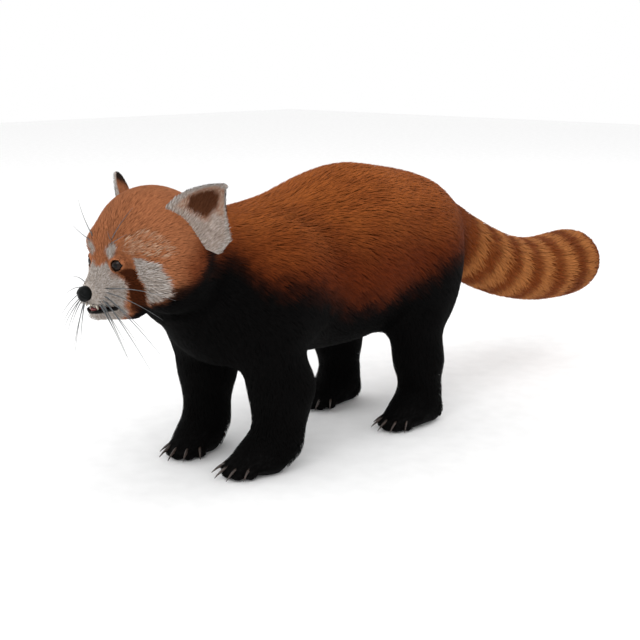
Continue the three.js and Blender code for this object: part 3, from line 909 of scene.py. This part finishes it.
def lieOf(points):
    # which way the coat runs, before it is laid on the surface
    x, y, z = points.T
    _, tangent = alongTail(points)
    legs = ramp(12, -8, pastLegs(points)) * ramp(190, 140, z)
    paws = ramp(42, 24, z)
    head = headness(points)
    tail = ramp(215, 255, y)
    fall = -0.26 - 0.55 * ramp(295, 205, z) + 0.18 * waves(points, 70, 8)
    flow = np.stack([0 * x, 0 * x + 1, fall], 1)
    flow = flow + legs[:, None] * (np.array((0, 0.25, -1.0)) - flow)
    flow = flow + paws[:, None] * (np.array((0, -1.0, -0.35)) - flow)
    hang = np.array((0, 0, -0.45)) * ramp(540, 320, y)[:, None]
    flow = flow + tail[:, None] * (tangent + hang - flow)
    away = unit(points - np.array((0, -336.0, 226.0))) + np.array((0, 0.25, -0.08))
    return flow + head[:, None] * (away - flow)


coatPieces = {  # locks in each piece, rings in a lock, its width, how far it sways, and its slot
    "head": {"count": 19800, "rings": 2, "width": 0.85, "sway": 0.08, "slot": "coat_face"},
    "neck": {"count": 9000, "rings": 3, "width": 1.6, "sway": 0.08, "slot": "coat_rust"},
    "trunk_left": {"count": 12300, "rings": 3, "width": 1.7, "sway": 0.08, "slot": "coat_rust"},
    "trunk_right": {"count": 12300, "rings": 3, "width": 1.7, "sway": 0.08, "slot": "coat_rust"},
    "belly": {"count": 4800, "rings": 3, "width": 1.9, "sway": 0.06, "slot": "coat_dark"},
    "front_legs": {"count": 15500, "rings": 2, "width": 1.5, "sway": 0.05, "slot": "coat_dark"},
    "hind_legs": {"count": 14500, "rings": 2, "width": 1.5, "sway": 0.05, "slot": "coat_dark"},
    "tail": {"count": 12300, "rings": 3, "width": 1.9, "sway": 0.09, "slot": "coat_tail"},
    "paws": {"count": 8000, "rings": 2, "width": 1.1, "sway": 0.06, "slot": "coat_dark"},
}


def lockLength(part, p):
    z = p[:, 2]
    if part == "head":  # short round the nose, the eyes and the mouth
        away = np.linalg.norm(p - np.array((0, -338.0, 222.0)), axis=1)
        long = 2.6 + 0.085 * np.maximum(away - 12, 0)
        long = np.minimum(long, 1.0 + 0.55 * np.maximum(eyeDistance(folded(p.T)) - 9.6, 0))
        return np.minimum(long, 1.2 + 0.6 * np.maximum(mouthGap(p.T), 0))
    if part == "paws":
        return 3.2 + 0.12 * z
    if part in ("front_legs", "hind_legs"):
        return 6 + 10 * ramp(20, 130, z)
    return {"neck": 20.0, "belly": 22.0, "tail": 24.0}.get(part, 25.0) * np.ones(len(p))


def turnAbout(a, b):
    # a place's turn about an axis, 0 to 1
    return np.arctan2(a, b) / (2 * np.pi) + 0.5


def unwrapOf(part, p):
    # a round-and-along unwrap of the skin for each stretch of coat, 0.01 to 0.99
    x, y, z = p.T
    if part in ("front_legs", "hind_legs", "paws"):  # each leg has a column of its own
        turn = turnAbout(np.abs(x) - 60, y - np.where(y < 0, -132.0, 108.0))
        column, columns, height = (x > 0) + 2 * (y > 0), 4, 36
        if part != "paws":
            column, columns, height = x > 0, 2, 175
        high = 0.01 + 0.98 * np.clip(z / height, 0, 1)
        return np.stack([(column + 0.02 + 0.95 * turn) / columns, high], 1)
    if part == "head":
        turn, run = turnAbout(x, z - 250), np.arctan2(np.hypot(x, z - 250), y + 250) / np.pi
    elif part == "tail":
        axis = np.interp(y, tailMiddle[:, 1], tailMiddle[:, 2])
        turn, run = turnAbout(x, z - axis), alongTail(p)[0] / 460
    else:
        turn, run = turnAbout(x, z - 205), (y + 260) / 520
    return 0.01 + 0.98 * np.stack([turn, np.clip(run, 0, 1)], 1)


coatMaterials = {slot: coatFinish(slot)
                 for slot in ("coat_rust", "coat_dark", "coat_tail", "coat_face", "coat_ear")}
lockStyle = {"ridge": 0.25, "embed": 0.5, "sunk": (0.0, 0.16), "soft": 0.72}


def makeCoat(part, style):
    roots, _, _ = scatter(skinPoints, skinFaces, style["count"], lambda p: partOf(p) == part)
    normals = slopeOf(fleshUnderCoat, roots, 0.6)
    lie = laidOn(normals, lieOf(roots))
    layers = markings(roots + lie * lockLength(part, roots)[:, None] * 0.55)
    del layers["bare"]
    bare, _ = bareParts(roots)
    soles = (normals[:, 2] < -0.55) & (roots[:, 2] < 8)
    keep = (bare < 0.3) & (noseShape(tuple(roots.T)) > 0.6) & ~soles
    roots, normals, lie = roots[keep], normals[keep], lie[keep]
    layers = {key: values[keep] for key, values in layers.items()}
    depth = np.maximum(-outline(tuple(roots.T)), 0.5)
    lengths = lockLength(part, roots)
    style = {**lockStyle, **style}
    if part == "head":
        style["scale"] = np.clip(0.65 + lengths / 12, 0.7, 1.5)
    piece = growLocks("coat_" + part, roots, normals, lie, lengths, depth, style,
                      coatMaterials[style["slot"]], unwrapOf(part, roots), layers, outline)
    print("coat", part, len(roots), "locks")


# Nose: a broad pad with two comma nostrils and a groove below

noseSizes = {"middle": (0, -332.5, 219), "radii": (8.4, 6.9, 6.3), "grid": 0.5}


def makeNose():
    box = [np.arange(c - r - 3, c + r + 3, noseSizes["grid"], dtype=np.float32)
           for c, r in zip(noseSizes["middle"], noseSizes["radii"])]
    points, faces = surfaceNet(noseShape, box)
    leather = plainFinish("nose_leather", "#020303", "#080a0a",
                          {"Roughness": 0.45, "Specular IOR Level": 0.09}, 1500, 0.35, 0.0004)
    piece = meshPiece("nose_pad", points, faces, leather)
    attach(piece, "root")
    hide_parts("nose")


nosePad = blend(
    2.5,
    lump((0, -332.3, 220.2), (7.7, 7.0, 6.7)),
    lump((0, -333, 215.4), (5.0, 5.6, 4.4)),
    bothSides(lump((4.6, -332.8, 218.4), (3.2, 5.4, 4.4))),
)
nostril = bothSides(limb((3.6, -339.8, 218.6), 1.3, (7.4, -336.4, 216.2), 0.8))
groove = limb((0, -340.2, 216.5), 0.5, (0, -337.8, 210.5), 0.5)
noseShape = hollowed(hollowed(nosePad, nostril, 1.0), groove, 0.8)

for part, style in coatPieces.items():
    makeCoat(part, style)
makeNose()


# Ears with their own coat


earStyle = {"rings": 2, "width": 0.9, "sway": 0.08, "ridge": 0.3, "embed": 0.3, "sunk": (0.0, 0.4),
            "soft": 0.6}


def makeEars():
    points, faces, s, a = earSurface()
    material = coatMaterials["coat_ear"]
    for name, side in eachSide:
        layers = earMarks(s, a, points)
        layers["strand"] = np.tile((0.5, 0.6, 0.5), (len(points), 1))
        surface = (points, faces) if side > 0 else mirrored(points, faces)
        leaf = meshPiece("ear_leaf_" + name, *surface, material, layers)
        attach(leaf, "root")
        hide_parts("ear_" + name)
        roots, corners, share = scatter(points, faces, ear["locks"])
        face = points[corners]
        normals = unit(np.cross(face[:, 1] - face[:, 0], face[:, 2] - face[:, 0]))
        rootS = (s[corners] * share).sum(1)
        rootA = np.arctan2((np.sin(a)[corners] * share).sum(1), (np.cos(a)[corners] * share).sum(1))
        keep = (rootS < 0.97) & (rootS > -0.1)
        roots, normals, rootS, rootA = roots[keep], normals[keep], rootS[keep], rootA[keep]
        across = np.cos(rootA)
        lie = earAxis + across[:, None] * earAcross * 0.35
        inner = np.sin(rootA) > 0
        lengths = np.where(inner, 9.0, 7.0) * (1.1 - 0.7 * np.maximum(rootS, 0)) * (1 - 0.4 * np.abs(across))
        layers = earMarks(rootS, rootA, roots)
        unwrap = np.stack([np.where(inner, 0.25, 0.75) + 0.22 * across, 0.05 + 0.9 * np.clip(rootS, 0, 1)], 1)
        mirror = (side, 1, 1)
        piece = growLocks("coat_ear_" + name, roots * mirror, normals * mirror, lie * mirror, lengths,
                          np.full(len(roots), 1.5), earStyle, material, unwrap, layers)


def earMarks(s, a, points):
    # white rim and lower hair, dark centre with buff edges, rust back that darkens to the tip
    width = np.abs(np.cos(a))
    inner = (np.sin(a) > 0).astype(float)
    rim = np.maximum(ramp(0.70, 0.86, width), ramp(0.80, 0.92, s))
    blot = waves(points, 9, 6)
    centre = ramp(1.2, 0.7, np.hypot((s - 0.44) / 0.36, (np.cos(a) - 0.2) / 0.6) + 0.2 * blot)
    lower = np.maximum(ramp(0.2, 0.05, s), ramp(0.5, 0.25, s) * ramp(-0.05, -0.35, np.cos(a) + 0.15 * blot))
    dark = inner * centre * (1 - rim) * (1 - 0.9 * lower) * 0.58
    back = 1 - inner
    dark = np.maximum(dark, back * ramp(0.35, 0.75, s) * (1 - ramp(0.9, 0.98, width)) * 0.85)
    white = np.maximum(inner * np.maximum(rim, 0.85 * lower), back * ramp(0.9, 0.98, width))
    buff = inner * (1 - rim) * (1 - centre)
    zero = 0 * inner
    return {
        "marks": np.stack([dark, np.maximum(white, 0.35 * buff), zero], 1),
        "tones": np.stack([zero, zero + 0.8, buff * 2], 1),
        "places": np.stack([zero + 1, zero, zero], 1),
    }


makeEars()
print("ears done")

# Eyes: a ball with a bulging cornea, aimed out and ahead

cornea = {"rise": 0.35, "reach": 0.5}  # millimetres, and radians from the aim


def makeEyes():
    material = eyeFinish()
    turns = np.linspace(0, np.pi, 40)
    around = np.linspace(0, 2 * np.pi, 64, endpoint=False)
    radius = animal["eyeRadius"] - cornea["rise"] + cornea["rise"] * np.exp(-(turns / cornea["reach"]) ** 2)
    for name, side in eachSide:
        centre, aim, beside = (np.array(v) * (side, 1, 1) for v in (eyeCentre, eyeAxis, eyeAcross))
        above = np.cross(aim, beside) * side
        rings = (centre + (radius * np.cos(turns))[:, None, None] * aim
                 + (radius * np.sin(turns))[:, None, None]
                 * (np.cos(around)[None, :, None] * beside + np.sin(around)[None, :, None] * above))
        points, faces = closedTube(rings[1:-1], rings[0, 0], rings[-1, 0])
        gaze = np.concatenate([np.repeat(turns[1:-1], len(around)), [0, np.pi]])
        layers = {"gaze": np.stack([gaze, 0 * gaze, 0 * gaze], 1)}
        piece = meshPiece("eyeball_" + name, points, faces, material, layers)
        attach(piece, "root")
        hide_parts("eye_" + name)


makeEyes()

# Tubes: teeth, claws and whiskers


def tube(path, radii, sides, flat=1.0):
    # a tapering tube along a path, closed at both ends
    path, radii = np.asarray(path, float), np.asarray(radii, float)
    heading = unit(np.gradient(path, axis=0))
    beside = unit(np.cross(heading, (0.13, 0.21, 1.0)))
    above = np.cross(beside, heading)
    turn = np.linspace(0, 2 * np.pi, sides, endpoint=False)
    rings = (path[:, None] + radii[:, None, None] * (np.cos(turn)[None, :, None] * beside[:, None] * flat
                                                     + np.sin(turn)[None, :, None] * above[:, None]))
    return closedTube(rings, path[0], path[-1])


def bent(start, heading, length, droop, count, curl):
    # points along a hair or tooth that sets off in one direction and bends towards another
    t = np.linspace(0, 1, count)[:, None]
    heading = np.array(heading, float) / np.linalg.norm(heading)
    return np.array(start) + heading * length * t + np.array(curl) * droop * length * t**2


claws = {"start": 1.5, "length": 16.5, "rise": 5, "drop": 8.5, "radius": 2.7, "taper": 0.86, "flat": 0.72}


def makeClaws():
    parts = []
    t = np.linspace(0, 1, 9)[:, None]
    radii = claws["radius"] * (1 - claws["taper"] * t[:, 0] ** 1.1)
    for paw in pawKinds.values():
        turn = math.radians(-paw["toeIn"])
        cos, sin = math.cos(turn), math.sin(turn)
        spin = np.array([[cos, -sin, 0], [sin, cos, 0], [0, 0, 1]])
        for toe in range(5):
            tip = np.array(toeTip(toe, paw["width"]))
            ahead = unit(np.array([[tip[0], tip[1], 0]]))[0] * (claws["start"] + claws["length"] * t)
            path = tip + ahead + np.array((0, 0, 1)) * (claws["rise"] - claws["drop"] * t**1.7)
            claw = tube(path @ spin.T + (*paw["place"], 0), radii, 12, claws["flat"])
            parts += [claw, mirrored(*claw)]
    horn = plainFinish("claw_horn", "#201815", "#46372f",
                       {"Roughness": 0.34, "Coat Weight": 0.2, "Coat Roughness": 0.25}, 420, 0.2, 0.0003)
    piece = meshPiece("claws", *joined(parts), horn)
    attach(piece, "root")
    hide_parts(*[f"{end}_claw_{toe}_{side}" for end in ("front", "hind")
                         for toe in range(1, 6) for side in ("left", "right")])


incisorPlaces = [(x, 0.12 * x * x - 325.5) for x in (1.2, 3.4, 5.4)]
toothRows = [  # foot, heading, length, bend to the rear, radii up to the tip, sides and flatness
    *[((x, y, 211), (0, -0.1, -1), 5.2, 0, (1.1, 1.15, 1.1, 0.9, 0.35), 8, 0.9) for x, y in incisorPlaces],
    *[((x * 0.9, y + 1, 196.6), (0, -0.1, 1), 4.4, 0, (1, 1.05, 1, 0.8, 0.3), 8, 0.9)
      for x, y in incisorPlaces],
    ((8, -325, 213), (0.05, -0.1, -1), 9, 0.12, (1.8, 1.8, 1.7, 1.5, 1.2, 0.8, 0.25), 10, 1),
    ((5.8, -321.5, 198), (0.08, -0.2, 1), 7.5, 0.12, (1.5, 1.5, 1.4, 1.3, 1.0, 0.6, 0.25), 10, 1),
    *[((11, y, 209.5), (0, 0, -1), 4.0, 0, (1.9, 1.9, 1.7, 1.1, 0.4), 8, 0.7) for y in (-319, -315, -311)],
]


def makeMouth():
    parts = [tube(bent(foot, heading, length, bend, len(radii), (0, 1, 0)), radii, sides, flat)
             for foot, heading, length, bend, radii, sides, flat in toothRows]
    parts += [mirrored(*part) for part in parts]
    enamel = plainFinish("tooth_enamel", "#b3a893", "#d8d0c0",
                         {"Roughness": 0.25, "Coat Weight": 0.4, "Coat Roughness": 0.1}, 500, 0.12, 0.0002)
    teeth = meshPiece("teeth", *joined(parts), enamel)
    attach(teeth, "root")

    tongueShape = hollowed(
        blend(2, lump((0, -313, 202.4), (6.0, 11.5, 2.2)), lump((0, -321.5, 202.4), (4.6, 4.2, 1.8))),
        limb((0, -300, 205.0), 0.8, (0, -325, 204.5), 0.4), 1.2)
    box = [np.arange(*span, dtype=np.float32) for span in ((-9, 9, 0.5), (-332, -300, 0.6), (198, 207, 0.4))]
    flesh = plainFinish("tongue_flesh", "#5a1618", "#8c3534",
                        {"Roughness": 0.3, "Coat Weight": 0.5, "Coat Roughness": 0.15}, 1200, 0.4, 0.0004)
    tongue = meshPiece("tongue_wet", *surfaceNet(tongueShape, box), flesh)
    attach(tongue, "root")
    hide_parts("tongue")


whiskers = {
    "muzzle": [  # root's y and z, length, outward, back and up
        (-321, 224, 72, (0.85, 0.30, 0.12)), (-322, 221, 70, (0.86, 0.22, -0.10)),
        (-325, 219, 60, (0.84, 0.12, -0.30)), (-321, 217, 74, (0.74, 0.20, -0.46)),
        (-326, 215, 56, (0.80, 0.05, -0.44)), (-322, 213, 76, (0.60, 0.18, -0.70)),
        (-328, 213, 44, (0.78, -0.04, -0.58)), (-324, 210, 56, (0.56, 0.10, -0.78)),
        (-329, 211, 36, (0.72, 0.0, -0.66)), (-326, 208.5, 44, (0.48, 0.12, -0.84)),
    ],
    "brow": [  # root's x and z, length, outward, back and up
        (12.5, 268, 46, (0.62, -0.10, 0.75)), (9, 264, 38, (0.80, -0.25, 0.36)),
        (16, 268, 13, (-0.3, -0.4, 0.8)),
    ],
    "thick": 0.65,
    "inward": (-30 / 32.7, 13 / 32.7, 0),  # how the muzzle's roots are looked for
}


def makeWhiskers():
    parts = []
    for side in (1, -1):
        for y, z, length, heading in whiskers["muzzle"]:
            length = length * rng.uniform(0.92, 1.08)
            heading = np.array(heading) + rng.normal(0, 0.03, 3)
            start = surfacePoint((34, y - 6, z), whiskers["inward"])
            path = bent(start, heading, length, 0.22, 12, (0.05, 0.25, -1.0)) * (side, 1, 1)
            parts.append(tube(path, whiskers["thick"] * np.linspace(1, 0.15, 12), 5))
        for x, z, length, heading in whiskers["brow"]:
            start = surfacePoint((x, -345, z), (0, 1, 0))
            path = bent(start, heading, length, 0.2, 12, (0.25, 1.0, 0.1)) * (side, 1, 1)
            parts.append(tube(path, whiskers["thick"] * 0.9 * np.linspace(1, 0.15, 12), 5))
    hair = plainFinish("whisker_hair", "#3a3d3f", "#5c5f61", {"Roughness": 0.4}, 300, 0.05, 0.0001)
    piece = meshPiece("whiskers", *joined(parts), hair)
    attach(piece, "root")


def surfacePoint(start, heading, depth=1.0):
    # where a line from outside meets the skin, and a little further in
    p = np.array(start, float)
    for _ in range(80):
        gap = float(skinShape(tuple(np.array([v]) for v in p))[0])
        if gap < 0.02:
            break
        p = p + np.array(heading) * min(max(gap * 0.6, 0.05), 3)
    return p + np.array(heading) * depth


makeClaws()
makeMouth()
makeWhiskers()
print("claws, mouth and whiskers")

# Camera, floor and light

view = {"lookAt": (0, 0, 137.2), "back": (0.6685, -0.7090, 0.2248), "distance": 1369, "focal": 1150,
        "frame": 640}


def makeCamera():
    camera = bpy.data.objects.new("camera", bpy.data.cameras.new("camera"))
    back = Vector(view["back"]).normalized()
    place = np.array(view["lookAt"]) + np.array(back) * view["distance"]
    camera.data.sensor_width = 36
    camera.data.lens = view["focal"] * 36 / view["frame"]
    camera.data.clip_end = 30
    camera.location = Vector(toFrame(place).tolist())
    camera.rotation_euler = back.to_track_quat("Z", "Y").to_euler()
    scene.collection.objects.link(camera)
    scene.camera = camera


studio = {
    "sky": 1.0,
    "floor": 6000,
    "lamps": [  # place in metres about the animal, size, watts
        ((1.3, -2.0, 2.3), 1.8, 30), ((-2.2, -1.2, 1.8), 2.0, 10), ((0.4, 2.2, 2.2), 1.6, 16),
    ],
}


def makeStudio():
    corners = studio["floor"] * np.array([(-1, -1, 0), (1, -1, 0), (1, 1, 0), (-1, 1, 0)], float)
    paper = plainFinish("floor_paper", "#f4f4f4", "#fafafa", {"Roughness": 0.9}, 40, 0.02, 0.0006)
    floor = meshPiece("floor", corners, np.array([(0, 1, 2, 3)]), paper)
    scene.view_settings.view_transform = "Standard"
    world = scene.world or bpy.data.worlds.new("studio")
    scene.world = world
    world.use_nodes = True
    sky = world.node_tree.nodes["Background"]
    sky.inputs["Color"].default_value = (1, 1, 1, 1)
    sky.inputs["Strength"].default_value = studio["sky"]
    for i, (place, size, power) in enumerate(studio["lamps"]):
        lamp = bpy.data.objects.new(f"lamp_{i}", bpy.data.lights.new(f"lamp_{i}", "AREA"))
        lamp.data.size = size
        lamp.data.energy = power
        lamp.location = place
        lamp.rotation_euler = Vector(place).to_track_quat("Z", "Y").to_euler()
        scene.collection.objects.link(lamp)


makeCamera()
makeStudio()
print("camera, floor and lamps")
